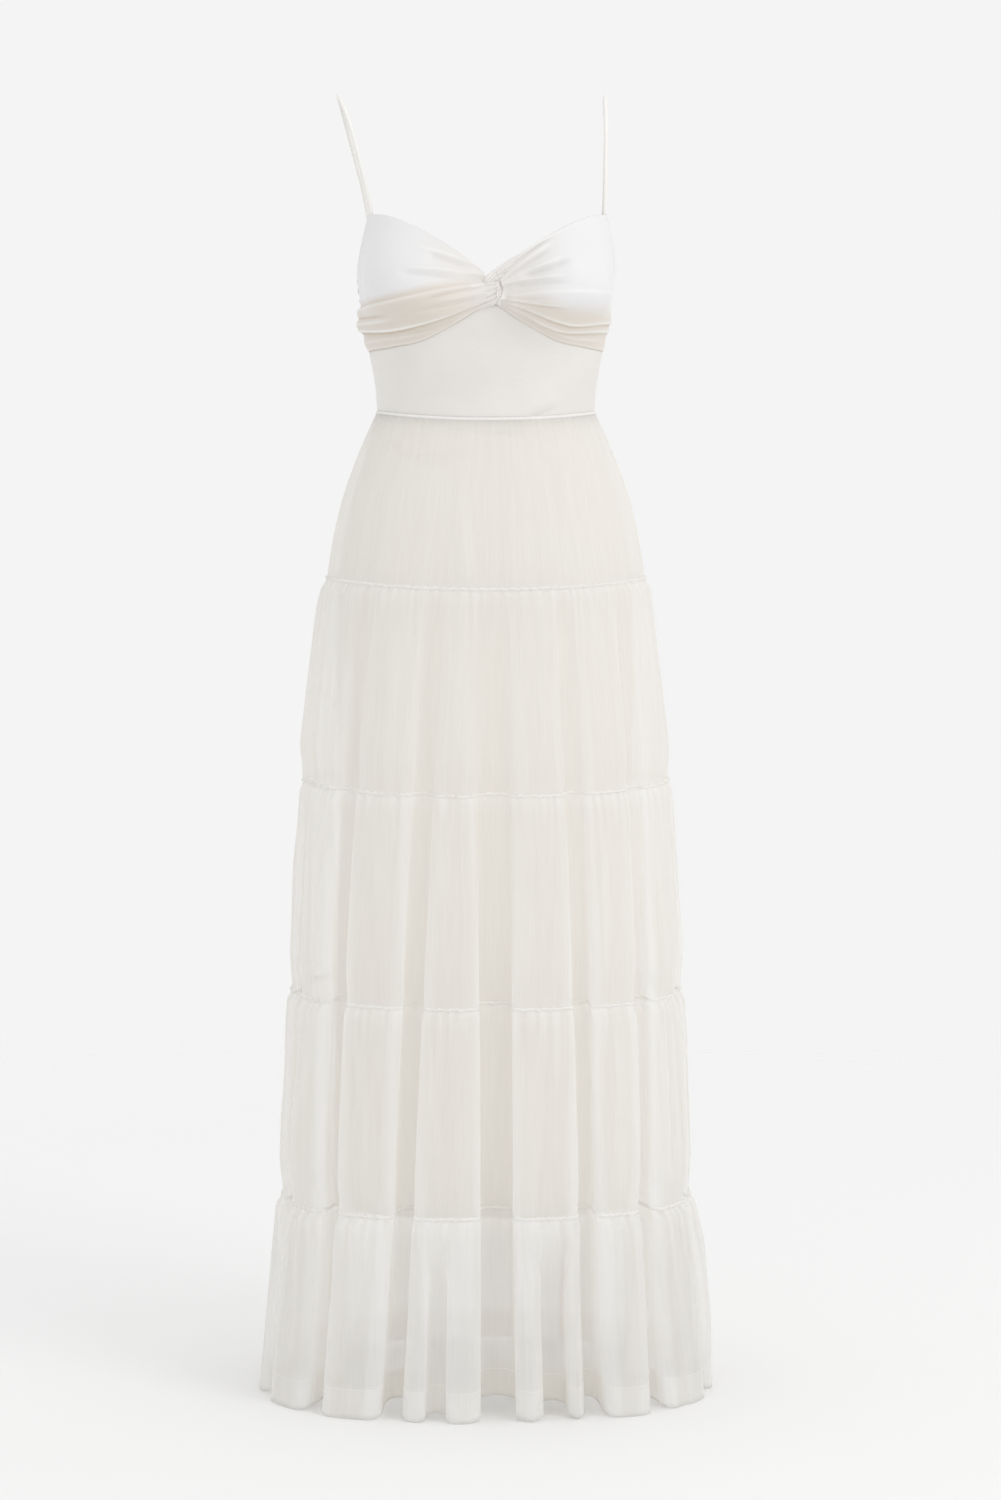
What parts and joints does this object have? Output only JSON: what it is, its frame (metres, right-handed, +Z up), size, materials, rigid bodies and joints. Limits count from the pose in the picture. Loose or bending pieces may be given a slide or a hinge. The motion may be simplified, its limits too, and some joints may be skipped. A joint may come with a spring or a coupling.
{
  "type": "evening dress",
  "caption": "Full-length tiered evening dress in sheer mesh with thin straps, a twisted sweetheart bust and a straight lining, hollow as worn.",
  "frame": {"origin": "between the shoulders, on the dress's middle plane, level with the undersides of the straps where they lie on the shoulders", "axes": "-Y is the front, +X the wearer's left, +Z up; the hem is the lowest part"},
  "size_m": [0.5022, 0.4296, 1.4149],
  "materials": {
    "mesh": "sheer matt stretch mesh, ivory",
    "bodice": "smooth matt stretch mesh over a lining, ivory",
    "drape": "soft draped stretch mesh, ivory with warm folds",
    "lining": "smooth opaque jersey, ivory",
    "strap": "rolled jersey cord, ivory"
  },
  "bodies": {
    "root": {"bodice_back": "bodice", "bust_panel_left": "drape", "bust_panel_right": "drape", "lining_back": "lining", "lining_front": "lining", "midriff_front": "bodice", "strap_left": "strap", "strap_right": "strap", "tier_1_back": "mesh", "tier_1_front": "mesh", "tier_2_back": "mesh", "tier_2_front": "mesh", "tier_3_back": "mesh", "tier_3_front": "mesh", "tier_4_back": "mesh", "tier_4_front": "mesh", "tier_5_back": "mesh", "tier_5_front": "mesh", "twist_loop_left": "drape", "twist_loop_right": "drape"}
  },
  "joints": []
}
